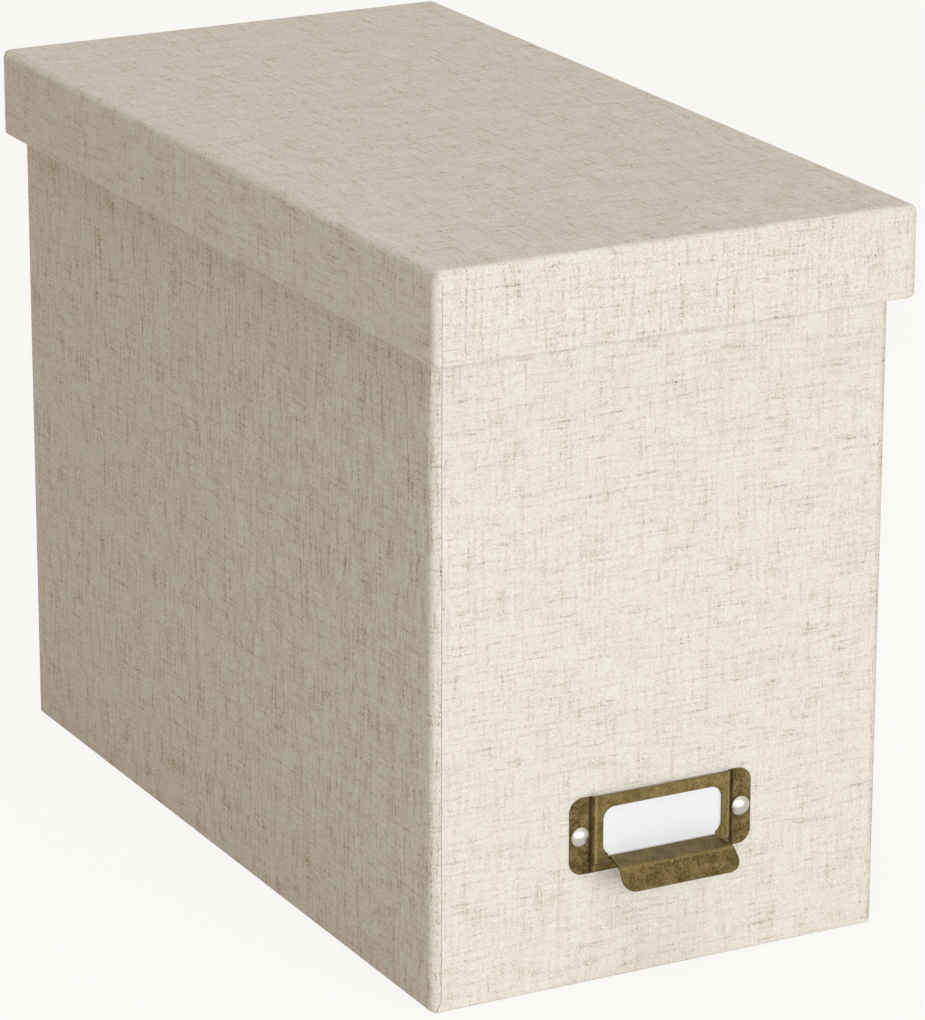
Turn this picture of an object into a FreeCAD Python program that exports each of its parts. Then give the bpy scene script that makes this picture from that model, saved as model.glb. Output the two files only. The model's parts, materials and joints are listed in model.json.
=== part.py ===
import FreeCAD, Part
import math
import os

from FreeCAD import Vector

# Linen-covered file box: a board body, a lift-off lid and a brass label holder with a finger pull.
# Sizes are in millimetres. +Z is up, the short front faces -Y, and the origin is the middle of the base.

# Outside of the closed box
BODY_WIDTH = 176.0
BODY_DEPTH = 334.0
TOTAL_HEIGHT = 264.6
LID_SIDE_OVERHANG = 4.4
LID_END_OVERHANG = 9.8
LID_SKIRT = 32.7
LID_SEAT_GAP = 0.2

# Boards and sheets
BODY_BOARD = 3.0
LID_BOARD = 2.4
COVER = 0.4
LINING = 0.3
BASE_SHEET = 0.4
STAY_TAPE = 0.25

# How far each sheet reaches round or along a board
RIM_TURN_IN = 15.0
BASE_TURN_IN = 12.0
LID_TURN_IN = 12.0
LINING_SETBACK = 4.0
BASE_SHEET_INSET = 2.0
STAY_LEG = 18.0
STAY_END_GAP = 0.5

# Outside radii of the covered edges
UPRIGHT_RADIUS = 2.8
RIM_RADIUS = 1.0
BASE_RADIUS = 2.2
LID_UPRIGHT_RADIUS = 2.4
LID_TOP_RADIUS = 2.6
LID_HEM_RADIUS = 1.2

# Slanted corner of an end sheet beside the edge where it folds
MITRE_WIDTH = 1.5
MITRE_HEIGHT = 3.2
LID_SEAM_LAP = 0.2

# Folded steel caps on the end walls, which carry the hooks of hanging files
HOOK_ROOM = 7.0
RAIL_METAL = 0.6
RAIL_LEG = 12.0
RAIL_FIT = 0.1
RAIL_END_GAP = 1.2
RAIL_BEND = 0.6
RAIL_TO_LINING = 1.0

# Label holder, stamped from one sheet of brass
HOLDER_WIDTH = 71.4
HOLDER_HEIGHT = 27.9
HOLDER_CENTRE_HEIGHT = 55.25
HOLDER_METAL = 0.75
HOLDER_CORNER = 5.0
POCKET_WIDTH = 55.2
POCKET_DEPTH = 1.35
POCKET_SLOPE = 1.3
POCKET_FOOT = 2.3
STEP_RADIUS = 0.8
STEP_FOOT_RADIUS = 0.5
WINDOW_WIDTH = 47.0
WINDOW_LOW = 5.7
WINDOW_HEIGHT = 17.8
WINDOW_CORNER = 4.5

# Finger pull, bent out of the window
PULL_ROOT_WIDTH = 41.8
PULL_TIP_WIDTH = 46.8
PULL_RELIEF = 0.5
PULL_ROOT_BEND = 0.6
PULL_SHELF = 10.0
PULL_SHELF_DROP = 5.0
PULL_KNEE_BEND = 2.6
PULL_LIP = 8.9
PULL_LIP_DROP = 50.6
PULL_CORNER = 4.5

# Rivets
RIVET_HEAD = 7.1
RIVET_HEAD_HEIGHT = 1.9
RIVET_SHANK = 3.2
RIVET_FIT = 0.1
RIVET_TAIL = 4.8
RIVET_TAIL_HEIGHT = 0.5
WASHER_WIDTH = 8.0
WASHER_THICKNESS = 0.8

# Label card
CARD = 0.4
CARD_SIDE_GAP = 0.4
CARD_FRONT_GAP = 0.15
CARD_FOOT_GAP = 0.1
CARD_TOP_GAP = 0.5
CARD_CORNER = 1.0

# Levels of the body, from the table up
BOARD_FOOT = BASE_SHEET + COVER
FLOOR = BOARD_FOOT + BODY_BOARD
LID_BOARD_TOP = TOTAL_HEIGHT - COVER
LID_BOARD_UNDER = LID_BOARD_TOP - LID_BOARD
LID_UNDER = LID_BOARD_UNDER - LINING
LID_HEM = TOTAL_HEIGHT - LID_SKIRT
SIDE_TOP = LID_UNDER - LID_SEAT_GAP
RAIL_TOP = SIDE_TOP - HOOK_ROOM
END_TOP = RAIL_TOP - RAIL_METAL

# Half sizes of the body: the end sheets lie over the side sheets where these turn the corners
SIDE_FACE = BODY_WIDTH / 2
SIDE_BOARD_OUT = SIDE_FACE - COVER
SIDE_BOARD_IN = SIDE_BOARD_OUT - BODY_BOARD
END_FACE = BODY_DEPTH / 2
END_BOARD_OUT = END_FACE - COVER
END_BOARD_IN = END_BOARD_OUT - BODY_BOARD
SIDE_BOARD_END = END_BOARD_OUT - COVER
INSIDE_X = SIDE_BOARD_IN - COVER - LINING
INSIDE_Y = END_BOARD_IN - COVER - LINING

# Half sizes of the lid, built the same way
LID_SIDE_FACE = SIDE_FACE + LID_SIDE_OVERHANG
LID_SIDE_BOARD_OUT = LID_SIDE_FACE - COVER
LID_SIDE_BOARD_IN = LID_SIDE_BOARD_OUT - LID_BOARD
LID_END_FACE = END_FACE + LID_END_OVERHANG
LID_END_BOARD_OUT = LID_END_FACE - COVER
LID_END_BOARD_IN = LID_END_BOARD_OUT - LID_BOARD
LID_SIDE_BOARD_END = LID_END_BOARD_OUT - COVER
LID_SEAM = LID_SIDE_BOARD_IN + LID_SEAM_LAP

# Places on the label holder
HOLDER_FOOT = HOLDER_CENTRE_HEIGHT - HOLDER_HEIGHT / 2
HOLDER_TOP = HOLDER_FOOT + HOLDER_HEIGHT
POCKET_LOW = HOLDER_FOOT + POCKET_FOOT
WINDOW_FOOT = HOLDER_FOOT + WINDOW_LOW
BEND_FOOT = WINDOW_FOOT - HOLDER_METAL - PULL_ROOT_BEND
POCKET_INSET = POCKET_SLOPE / POCKET_DEPTH
POCKET_SHELL = HOLDER_METAL * math.hypot(POCKET_DEPTH, POCKET_SLOPE) / POCKET_DEPTH
RIVET_X = (HOLDER_WIDTH + POCKET_WIDTH) / 4
HOLE_RADIUS = RIVET_SHANK / 2 + RIVET_FIT

# Cutting tools reach this far past what they cut
PAST = 5.0
FLAT = 1e-6


def span(half):
    """The range from minus half to plus half."""
    return (-half, half)


def block(x, y, z):
    """Box between the two values given for each axis."""
    return Part.makeBox(x[1] - x[0], y[1] - y[0], z[1] - z[0], Vector(x[0], y[0], z[0]))


def prism(corners, along):
    """Solid from a flat outline of straight lines, pushed along a vector."""
    return Part.Face(Part.makePolygon(corners + corners[:1])).extrude(along)


def rounded(solid, radius, chosen):
    """The solid with each edge rounded whose bounding box is one that chosen() accepts."""
    return solid.makeFillet(radius, [edge for edge in solid.Edges if chosen(edge.BoundBox)])


def upright(box):
    return box.XLength < FLAT and box.YLength < FLAT


def level(box, z):
    return abs(box.ZMin - z) < FLAT and abs(box.ZMax - z) < FLAT


def through(box):
    """An edge that runs front to back only."""
    return box.XLength < FLAT and box.ZLength < FLAT


def flipped_x(shape):
    return shape.mirror(Vector(0, 0, 0), Vector(1, 0, 0))


def flipped_y(shape):
    return shape.mirror(Vector(0, 0, 0), Vector(0, 1, 0))


def bent_sheet(points, radii, thickness, x):
    """Sheet that follows a bent middle line, given as (y, z) points with a radius for each bend."""
    across = Vector(1, 0, 0)
    middle = [Vector(x[0], y, z) for y, z in points]
    runs = [(b - a).normalize() for a, b in zip(middle, middle[1:])]
    edges = []
    caps = []
    for side in (1, -1):
        offset = side * thickness / 2
        start = middle[0] + across.cross(runs[0]) * offset
        caps.append(start)
        for corner, radius, into, out in zip(middle[1:], radii, runs, runs[1:]):
            turn = into.getAngle(out)
            inward = 1 if into.cross(out).x > 0 else -1
            reach = radius * math.tan(turn / 2)
            centre = corner + (out - into).normalize() * (radius / math.cos(turn / 2))
            arc_start = corner - into * reach + across.cross(into) * offset
            arc_end = corner + out * reach + across.cross(out) * offset
            crown = centre + (corner - centre).normalize() * (radius - inward * offset)
            edges.append(Part.LineSegment(start, arc_start).toShape())
            edges.append(Part.Arc(arc_start, crown, arc_end).toShape())
            start = arc_end
        end = middle[-1] + across.cross(runs[-1]) * offset
        edges.append(Part.LineSegment(start, end).toShape())
        caps.append(end)
    edges.append(Part.LineSegment(caps[0], caps[2]).toShape())
    edges.append(Part.LineSegment(caps[1], caps[3]).toShape())
    outline = Part.Wire(Part.sortEdges(edges)[0])
    return Part.Face(outline).extrude(Vector(x[1] - x[0], 0, 0))


def base_board():
    return block(span(SIDE_BOARD_IN), span(END_BOARD_IN), (BOARD_FOOT, FLOOR))


def side_block(x, y_half, z, shrink):
    """A left wall's outline, with or without its covering, with the rounded edges of the covering."""
    wall = block(x, span(y_half), z)
    wall = rounded(wall, UPRIGHT_RADIUS - shrink, lambda b: upright(b) and b.XMin < x[0] + FLAT)
    wall = rounded(wall, RIM_RADIUS - shrink, lambda b: level(b, z[1]))
    return rounded(wall, BASE_RADIUS - shrink, lambda b: level(b, z[0]) and b.XMin < x[1] - FLAT)


def left_board():
    return side_block(
        (-SIDE_BOARD_OUT, -SIDE_BOARD_IN), SIDE_BOARD_END, (BOARD_FOOT, SIDE_TOP - COVER), COVER
    )


def left_cover():
    """Sheet round the left wall: under the base, up, over the rim and in, and round both corners."""
    x_in = -SIDE_BOARD_IN + COVER
    outside = side_block((-SIDE_FACE, x_in), END_BOARD_OUT, (BASE_SHEET, SIDE_TOP), 0.0)
    sheet = outside.cut(left_board())
    inner_layer = (-SIDE_BOARD_IN, x_in + PAST)
    turn_in_foot = SIDE_TOP - RIM_TURN_IN
    all_along = span(END_FACE + PAST)
    sheet = sheet.cut(block(inner_layer, all_along, (BOARD_FOOT, turn_in_foot)))
    for end in (-1, 1):
        ends = sorted((end * (END_BOARD_IN - COVER), end * (END_FACE + PAST)))
        sheet = sheet.cut(block(inner_layer, ends, (turn_in_foot - PAST, END_TOP)))
    under = block((x_in, -SIDE_FACE + BASE_TURN_IN), span(END_BOARD_OUT), (BASE_SHEET, BOARD_FOOT))
    sheet = sheet.fuse(under)
    reach = BASE_TURN_IN + PAST
    for end in (-1, 1):
        corner = Vector(-SIDE_FACE, end * END_BOARD_OUT, -PAST)
        slant = [corner, corner + Vector(reach, 0, 0), corner + Vector(reach, -end * reach, 0)]
        sheet = sheet.cut(prism(slant, Vector(0, 0, PAST + BOARD_FOOT)))
    return sheet.removeSplitter()


def front_wall():
    """The bare front board, whose face is flush with the side sheets' turned edges."""
    wall = block(
        span(SIDE_BOARD_IN), (-END_BOARD_OUT, -END_BOARD_IN), (BOARD_FOOT, END_TOP - COVER)
    )
    rim = END_TOP - COVER
    wall = rounded(wall, RIM_RADIUS - COVER, lambda b: level(b, rim) and b.YLength < FLAT)
    return rounded(
        wall,
        BASE_RADIUS - COVER,
        lambda b: level(b, BOARD_FOOT) and b.YMax < -END_BOARD_OUT + FLAT,
    )


def front_sheet():
    """Sheet on the front wall: turned under the base and over the rim, with slanted low corners."""
    half = COVER / 2
    points = [
        (-END_FACE + BASE_TURN_IN, BOARD_FOOT - half),
        (-END_FACE + half, BOARD_FOOT - half),
        (-END_FACE + half, END_TOP - half),
        (-END_BOARD_IN + half, END_TOP - half),
        (-END_BOARD_IN + half, END_TOP - RIM_TURN_IN),
    ]
    radii = [BASE_RADIUS - half, RIM_RADIUS - half, RIM_RADIUS - half]
    sheet = bent_sheet(points, radii, COVER, span(SIDE_BOARD_IN))
    low = BASE_SHEET + BASE_RADIUS
    for side in (-1, 1):
        seam = side * SIDE_BOARD_IN
        corners = [
            Vector(seam, -END_FACE, low + MITRE_HEIGHT),
            Vector(seam + side * MITRE_WIDTH, -END_FACE, low),
            Vector(seam, -END_FACE, low),
        ]
        sheet = sheet.fuse(prism(corners, Vector(0, COVER, 0)))
        corner = Vector(seam, -END_FACE, -PAST)
        reach = BASE_TURN_IN + PAST
        slant = [corner, corner + Vector(side * PAST, 0, 0), corner + Vector(side * PAST, reach, 0),
                 corner + Vector(-side * reach, reach, 0)]
        sheet = sheet.cut(prism(slant, Vector(0, 0, PAST + BOARD_FOOT)))
    return sheet.removeSplitter()


def rivet_holes():
    """Tools for the two holes through the label holder and the front wall."""
    tools = [
        Part.makeCylinder(
            HOLE_RADIUS,
            PAST + END_FACE - INSIDE_Y + PAST,
            Vector(side * RIVET_X, -END_FACE - PAST, HOLDER_CENTRE_HEIGHT),
            Vector(0, 1, 0),
        )
        for side in (-1, 1)
    ]
    return Part.makeCompound(tools)


def base_sheet():
    x = span(SIDE_FACE - BASE_SHEET_INSET)
    y = span(END_FACE - BASE_SHEET_INSET)
    return block(x, y, (0.0, BASE_SHEET))


def corner_stays(x_half, y_half, leg, z):
    """Four paper angles in the inside corners of a frame of boards."""
    angles = []
    for x_side in (-1, 1):
        for y_side in (-1, 1):
            x_out, y_out = x_side * x_half, y_side * y_half
            x_leg = sorted((x_out, x_out - x_side * leg))
            x_skin = sorted((x_out, x_out - x_side * STAY_TAPE))
            y_leg = sorted((y_out, y_out - y_side * leg))
            y_skin = sorted((y_out, y_out - y_side * STAY_TAPE))
            angle = block(x_leg, y_skin, z).fuse(block(x_skin, y_leg, z))
            angles.append(angle.removeSplitter())
    return Part.makeCompound(angles)


def lining_band(x_half, y_half, z):
    """Paper band round four inner walls."""
    band = block(span(x_half), span(y_half), z)
    hollow_z = (z[0] - PAST, z[1] + PAST)
    return band.cut(block(span(x_half - LINING), span(y_half - LINING), hollow_z))


def wall_lining():
    """The band stands higher on the side walls than on the ends, where the file rails reach down."""
    band = lining_band(INSIDE_X + LINING, INSIDE_Y + LINING, (FLOOR, SIDE_TOP - LINING_SETBACK))
    end_z = (END_TOP - RAIL_LEG - RAIL_TO_LINING, SIDE_TOP)
    return band.cut(block(span(INSIDE_X), span(END_FACE), end_z))


def floor_lining():
    return block(span(INSIDE_X), span(INSIDE_Y), (FLOOR, FLOOR + LINING))


def front_rail():
    outer = -END_FACE - RAIL_FIT - RAIL_METAL / 2
    inner = -END_BOARD_IN + COVER + RAIL_FIT + RAIL_METAL / 2
    top = END_TOP + RAIL_METAL / 2
    foot = END_TOP - RAIL_LEG
    points = [(outer, foot), (outer, top), (inner, top), (inner, foot)]
    half_length = SIDE_BOARD_IN - COVER - RAIL_END_GAP
    return bent_sheet(points, [RAIL_BEND, RAIL_BEND], RAIL_METAL, span(half_length))


def on_front(x, proud, z):
    """Box on the front wall, with its depth given as how far it stands proud of the covering."""
    return block(x, (-END_FACE - proud[1], -END_FACE - proud[0]), z)


def pocket_inset(proud):
    """How far the outside of the raised middle has sloped in at this distance from the wall."""
    return (proud - HOLDER_METAL) * POCKET_INSET


def pocket_form(proud, shell):
    """The raised middle of the holder, or its hollow, with sides and a foot that slope in."""
    top = HOLDER_TOP + PAST
    halves = [POCKET_WIDTH / 2 - shell - pocket_inset(p) for p in proud]
    lows = [POCKET_LOW + shell + pocket_inset(p) for p in proud]
    near, far = (-END_FACE - p for p in proud)
    across = [(-halves[0], near), (halves[0], near), (halves[1], far), (-halves[1], far)]
    sides = prism([Vector(x, y, HOLDER_FOOT) for x, y in across], Vector(0, 0, top - HOLDER_FOOT))
    upward = [(near, lows[0]), (far, lows[1]), (far, top), (near, top)]
    foot = prism([Vector(-HOLDER_WIDTH, y, z) for y, z in upward], Vector(2 * HOLDER_WIDTH, 0, 0))
    return sides.common(foot)


def finger_pull():
    """The window's flap, bent out to a shelf and down to a lip that widens to its round corners."""
    middle = POCKET_DEPTH + HOLDER_METAL / 2
    root = (middle, WINDOW_FOOT - HOLDER_METAL / 2)
    drop, lip_drop = math.radians(PULL_SHELF_DROP), math.radians(PULL_LIP_DROP)
    knee = (root[0] + PULL_SHELF * math.cos(drop), root[1] - PULL_SHELF * math.sin(drop))
    tip = (knee[0] + PULL_LIP * math.cos(lip_drop), knee[1] - PULL_LIP * math.sin(lip_drop))
    start = (middle, BEND_FOOT - HOLDER_METAL / 2)
    points = [(-END_FACE - proud, z) for proud, z in (start, root, knee, tip)]
    root_half, tip_half = PULL_ROOT_WIDTH / 2, PULL_TIP_WIDTH / 2
    width = span(tip_half + PAST)
    flap = bent_sheet(points, [PULL_ROOT_BEND, PULL_KNEE_BEND], HOLDER_METAL, width)
    plate_y = -END_FACE - POCKET_DEPTH - HOLDER_METAL
    widening = (tip_half - root_half) / (tip[0] - POCKET_DEPTH - HOLDER_METAL)
    past_y = -END_FACE - tip[0] - PAST
    low = tip[1] - PAST
    for side in (-1, 1):
        taper = [
            Vector(side * root_half, -END_FACE, low),
            Vector(side * root_half, plate_y, low),
            Vector(side * (tip_half + PAST * widening), past_y, low),
            Vector(side * (tip_half + 2 * PAST), past_y, low),
            Vector(side * (tip_half + 2 * PAST), -END_FACE, low),
        ]
        flap = flap.cut(prism(taper, Vector(0, 0, WINDOW_FOOT + PAST - low)))
    at_tip = tip[1] + HOLDER_METAL
    tip_corners = [
        edge for edge in flap.Edges
        if edge.Length < 2 * HOLDER_METAL and edge.BoundBox.ZMax < at_tip
    ]
    return flap.makeFillet(PULL_CORNER, tip_corners)


def label_holder():
    """Ears and foot strip lie on the wall; the middle is stepped out and open at the top and back."""
    plate = on_front(span(HOLDER_WIDTH / 2), (0.0, HOLDER_METAL), (HOLDER_FOOT, HOLDER_TOP))
    plate = rounded(plate, HOLDER_CORNER, through)
    raised = rounded(
        pocket_form((0.0, POCKET_DEPTH + HOLDER_METAL), 0.0),
        STEP_RADIUS,
        lambda b: b.YMin < -END_FACE - FLAT and b.ZMin < HOLDER_TOP,
    )
    holder = plate.fuse(raised.common(on_front(span(HOLDER_WIDTH), (-PAST, PAST), (0.0, HOLDER_TOP))))
    plate_face = -END_FACE - HOLDER_METAL
    holder = rounded(
        holder,
        STEP_FOOT_RADIUS,
        lambda b: b.YLength < FLAT
        and abs(b.YMin - plate_face) < FLAT
        and b.XLength < POCKET_WIDTH + FLAT
        and b.XMin > -POCKET_WIDTH / 2 - FLAT
        and b.XMax < POCKET_WIDTH / 2 + FLAT
        and b.ZMin < HOLDER_TOP - FLAT,
    )
    holder = holder.cut(pocket_form((-PAST, POCKET_DEPTH), POCKET_SHELL))
    depth = (POCKET_DEPTH - FLAT, POCKET_DEPTH + HOLDER_METAL + PAST)
    window = on_front(span(WINDOW_WIDTH / 2), depth, (WINDOW_FOOT, WINDOW_FOOT + WINDOW_HEIGHT))
    holder = holder.cut(rounded(window, WINDOW_CORNER, through))
    slot = span(PULL_ROOT_WIDTH / 2 + PULL_RELIEF)
    holder = holder.cut(on_front(slot, depth, (BEND_FOOT, WINDOW_FOOT + WINDOW_CORNER)))
    return holder.fuse(finger_pull()).removeSplitter().cut(rivet_holes())


def rivets():
    """Domed heads on the ears, shanks through the wall and flattened tails on the washers."""
    head_y = -END_FACE - HOLDER_METAL
    tail_y = -INSIDE_Y + WASHER_THICKNESS
    radius = RIVET_HEAD / 2
    sphere = (radius**2 + RIVET_HEAD_HEIGHT**2) / (2 * RIVET_HEAD_HEIGHT)
    made = []
    for side in (-1, 1):
        at = Vector(side * RIVET_X, head_y, HOLDER_CENTRE_HEIGHT)
        ball = Part.makeSphere(sphere, at + Vector(0, sphere - RIVET_HEAD_HEIGHT, 0))
        front = block(
            (at.x - radius - PAST, at.x + radius + PAST),
            (head_y - PAST, head_y),
            (at.z - radius - PAST, at.z + radius + PAST),
        )
        shank = Part.makeCylinder(RIVET_SHANK / 2, tail_y - head_y, at, Vector(0, 1, 0))
        tail_at = Vector(at.x, tail_y, at.z)
        tail = Part.makeCylinder(RIVET_TAIL / 2, RIVET_TAIL_HEIGHT, tail_at, Vector(0, 1, 0))
        made.append(ball.common(front).fuse(shank).fuse(tail).removeSplitter())
    return Part.makeCompound(made)


def rivet_washers():
    rings = []
    for side in (-1, 1):
        at = Vector(side * RIVET_X, -INSIDE_Y, HOLDER_CENTRE_HEIGHT)
        disc = Part.makeCylinder(WASHER_WIDTH / 2, WASHER_THICKNESS, at, Vector(0, 1, 0))
        rings.append(disc.cut(rivet_holes()))
    return Part.makeCompound(rings)


def label_card():
    front = POCKET_DEPTH - CARD_FRONT_GAP
    inset = POCKET_SHELL + pocket_inset(front)
    card = on_front(
        span(POCKET_WIDTH / 2 - inset - CARD_SIDE_GAP),
        (front - CARD, front),
        (POCKET_LOW + inset + CARD_FOOT_GAP, HOLDER_TOP - CARD_TOP_GAP),
    )
    return rounded(card, CARD_CORNER, through)


def lid_form(side_x, side_y, end_x, end_y, z, shrink):
    """Outside of the lid, or of its boards: a rounded box with the end faces standing a sheet proud."""
    box = block(span(side_x), span(side_y), z)
    box = rounded(box, LID_UPRIGHT_RADIUS - shrink, upright)
    box = rounded(box, LID_TOP_RADIUS - shrink, lambda b: level(b, z[1]))
    box = rounded(box, LID_HEM_RADIUS - shrink, lambda b: level(b, z[0]))
    ends = block(span(end_x), span(end_y), z)
    ends = rounded(ends, LID_TOP_RADIUS - shrink, lambda b: level(b, z[1]) and b.YLength < FLAT)
    ends = rounded(ends, LID_HEM_RADIUS - shrink, lambda b: level(b, z[0]) and b.YLength < FLAT)
    return box.fuse(ends)


def lid_boards():
    """The five boards: a top panel set between two long and two short skirt boards."""
    z = (LID_HEM + COVER, LID_BOARD_TOP)
    form = lid_form(
        LID_SIDE_BOARD_OUT, LID_SIDE_BOARD_END, LID_SIDE_BOARD_IN, LID_END_BOARD_OUT, z, COVER
    )
    left = form.common(block((-LID_SIDE_FACE, -LID_SIDE_BOARD_IN), span(LID_END_FACE), z))
    front = form.common(
        block(span(LID_SIDE_BOARD_IN), (-LID_END_FACE, -LID_END_BOARD_IN), z)
    )
    top = block(span(LID_SIDE_BOARD_IN), span(LID_END_BOARD_IN), (LID_BOARD_UNDER, LID_BOARD_TOP))
    return {
        "lid_top_board": top,
        "lid_front_board": front,
        "lid_rear_board": flipped_y(front),
        "lid_left_board": left,
        "lid_right_board": flipped_x(left),
    }


def lid_cover(boards):
    """One sheet over the top and down all four skirts, folded round the hem and in."""
    z = (LID_HEM, TOTAL_HEIGHT)
    sheet = lid_form(LID_SIDE_FACE, LID_END_BOARD_OUT, LID_SEAM, LID_END_FACE, z, 0.0)
    high = TOTAL_HEIGHT - LID_TOP_RADIUS
    for end in (-1, 1):
        for side in (-1, 1):
            seam = side * LID_SEAM
            corners = [
                Vector(seam, end * LID_END_FACE, high - MITRE_HEIGHT),
                Vector(seam + side * MITRE_WIDTH / 2, end * LID_END_FACE, high),
                Vector(seam, end * LID_END_FACE, high),
            ]
            sheet = sheet.fuse(prism(corners, Vector(0, -end * COVER, 0)))
    for board in boards.values():
        sheet = sheet.cut(board)
    turn_in_top = LID_HEM + LID_TURN_IN
    x_in, y_in = LID_SIDE_BOARD_IN, LID_END_BOARD_IN
    sheet = sheet.cut(block(span(x_in), span(y_in), (turn_in_top, LID_BOARD_UNDER)))
    hollow = block(span(x_in - COVER), span(y_in - COVER), (LID_HEM - PAST, turn_in_top))
    return sheet.cut(hollow).removeSplitter()


def lid_top_lining():
    return block(span(LID_SIDE_BOARD_IN), span(LID_END_BOARD_IN), (LID_UNDER, LID_BOARD_UNDER))


def lid_skirt_lining():
    z = (LID_HEM + LINING_SETBACK, LID_UNDER)
    return lining_band(LID_SIDE_BOARD_IN - COVER, LID_END_BOARD_IN - COVER, z)


def all_parts():
    left = left_board()
    cover = left_cover()
    front = front_wall()
    sheet = front_sheet()
    rail = front_rail()
    holes = rivet_holes()
    stay_top = END_TOP - RIM_TURN_IN - STAY_END_GAP
    lid_stay_foot = LID_HEM + LID_TURN_IN + STAY_END_GAP
    boards = lid_boards()
    parts = {
        "base_board": base_board(),
        "base_sheet": base_sheet(),
        "left_board": left,
        "right_board": flipped_x(left),
        "front_board": front.cut(holes),
        "rear_board": flipped_y(front),
        "corner_stays": corner_stays(SIDE_BOARD_IN, END_BOARD_IN, STAY_LEG, (FLOOR, stay_top)),
        "left_cover": cover,
        "right_cover": flipped_x(cover),
        "front_cover": sheet.cut(holes),
        "rear_cover": flipped_y(sheet),
        "wall_lining": wall_lining().cut(holes),
        "floor_lining": floor_lining(),
        "front_file_rail": rail,
        "rear_file_rail": flipped_y(rail),
        "label_holder": label_holder(),
        "rivets": rivets(),
        "rivet_washers": rivet_washers(),
        "label_card": label_card(),
        "lid_cover": lid_cover(boards),
        "lid_corner_stays": corner_stays(
            LID_SIDE_BOARD_IN, LID_END_BOARD_IN, STAY_LEG, (lid_stay_foot, LID_UNDER)
        ),
        "lid_top_lining": lid_top_lining(),
        "lid_skirt_lining": lid_skirt_lining(),
    }
    parts.update(boards)
    return parts


os.makedirs("parts", exist_ok=True)
for name, shape in all_parts().items():
    shape.exportStep("parts/" + name + ".step")
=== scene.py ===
"""Looks of a file box covered in natural linen, with a lift-off lid and a brass label holder."""

import contextlib
import json
import math

import bmesh
import bpy
from bpy.props import FloatProperty, FloatVectorProperty, PointerProperty
from mathutils import Matrix, Vector

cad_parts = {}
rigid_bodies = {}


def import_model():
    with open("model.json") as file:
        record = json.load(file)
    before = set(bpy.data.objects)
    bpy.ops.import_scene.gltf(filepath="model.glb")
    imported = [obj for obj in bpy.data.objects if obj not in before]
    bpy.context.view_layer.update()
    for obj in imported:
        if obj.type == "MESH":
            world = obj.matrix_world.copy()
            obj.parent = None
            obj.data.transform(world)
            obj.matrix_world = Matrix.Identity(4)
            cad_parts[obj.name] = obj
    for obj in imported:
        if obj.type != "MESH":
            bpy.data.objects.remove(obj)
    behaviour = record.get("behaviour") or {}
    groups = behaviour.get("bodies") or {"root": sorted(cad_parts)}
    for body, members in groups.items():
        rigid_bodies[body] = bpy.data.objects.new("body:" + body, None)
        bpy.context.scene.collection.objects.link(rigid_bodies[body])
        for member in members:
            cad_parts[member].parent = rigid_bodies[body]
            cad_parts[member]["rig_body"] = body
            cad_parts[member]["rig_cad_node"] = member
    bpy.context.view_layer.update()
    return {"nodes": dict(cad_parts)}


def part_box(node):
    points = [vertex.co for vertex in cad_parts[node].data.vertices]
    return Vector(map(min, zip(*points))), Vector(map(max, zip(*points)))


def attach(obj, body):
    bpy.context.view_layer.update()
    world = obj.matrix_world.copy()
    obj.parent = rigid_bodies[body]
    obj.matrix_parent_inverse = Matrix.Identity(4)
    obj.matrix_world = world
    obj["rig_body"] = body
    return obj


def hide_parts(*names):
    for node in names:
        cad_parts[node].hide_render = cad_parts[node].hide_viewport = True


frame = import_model()

bl_info = {
    "name": "Linen File Box",
    "version": (1, 0, 0),
    "blender": (4, 5, 0),
    "location": "View3D > Sidebar > File Box",
    "description": "Models the cloth, metal and paper of a linen-covered file box around its boards",
    "category": "Add Mesh",
}

MM = 0.001
NEAR = 1e-5
CLOTH_MAP = "cloth"
UP = Vector((0, 0, 1))
# Unevenness of the yarn: threads side by side that share it (0 for one thread alone), its length
# in threads, the noise values where it starts and is full, and how dark it makes the thread.
SLUBS = (
    (0, 6, 0.58, 0.80, 0.40),
    (0, 22, 0.60, 0.80, 0.40),
)
STREAKS = (
    (2.8, 32, 0.57, 0.80, 0.9),
    (3.5, 40, 0.50, 0.75, 0.7),
    (12, 55, 0.45, 0.75, 0.31),
)
# Places in the noise, so that slubs, streaks and the threads that cross them differ.
SLUB_SEED = 3.1
STREAK_SEED = 14.1
WARP_SEED = 45.6
KIND_STEP = 5.7
# How far apart in the noise neighbouring threads lie, so that each is unlike the next.
THREAD_STEP = 7.317
# How far threads wander from straight, in threads.
SWAY = (5, 5, 0)
# Share of the darkness that lies in the lengthwise threads, and its strength. The strength differs by how
# each sheet is lit, not by the cloth: higher on the long walls and the lid than on the ends, painted shade
# in the pattern.
SIDE_CLOTH = (0.38, 1.18)
END_CLOTH = (0.56, 0.8)
LID_CLOTH = (0.48, 0.94)
# Sheets of the walls: name, side, the solid it stands for, its board and its place on the roll.
SIDE_SHEETS = (
    ("left_linen", -1, "left_cover", "left_board", 0.31),
    ("right_linen", 1, "right_cover", "right_board", 1.73),
)
END_SHEETS = (
    ("front_linen", -1, "front_cover", "front_board", 2.57),
    ("rear_linen", 1, "rear_cover", "rear_board", 4.11),
)
LID_ROLL = 6.37
# The holder's metal, the rivets' small edges and how far a tail's edge narrows.
HOLDER_METAL = 0.75 * MM
TAIL_EDGE = 0.15 * MM
TAIL_TAPER = 0.8
RIVET_EDGE = 0.1 * MM
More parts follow.
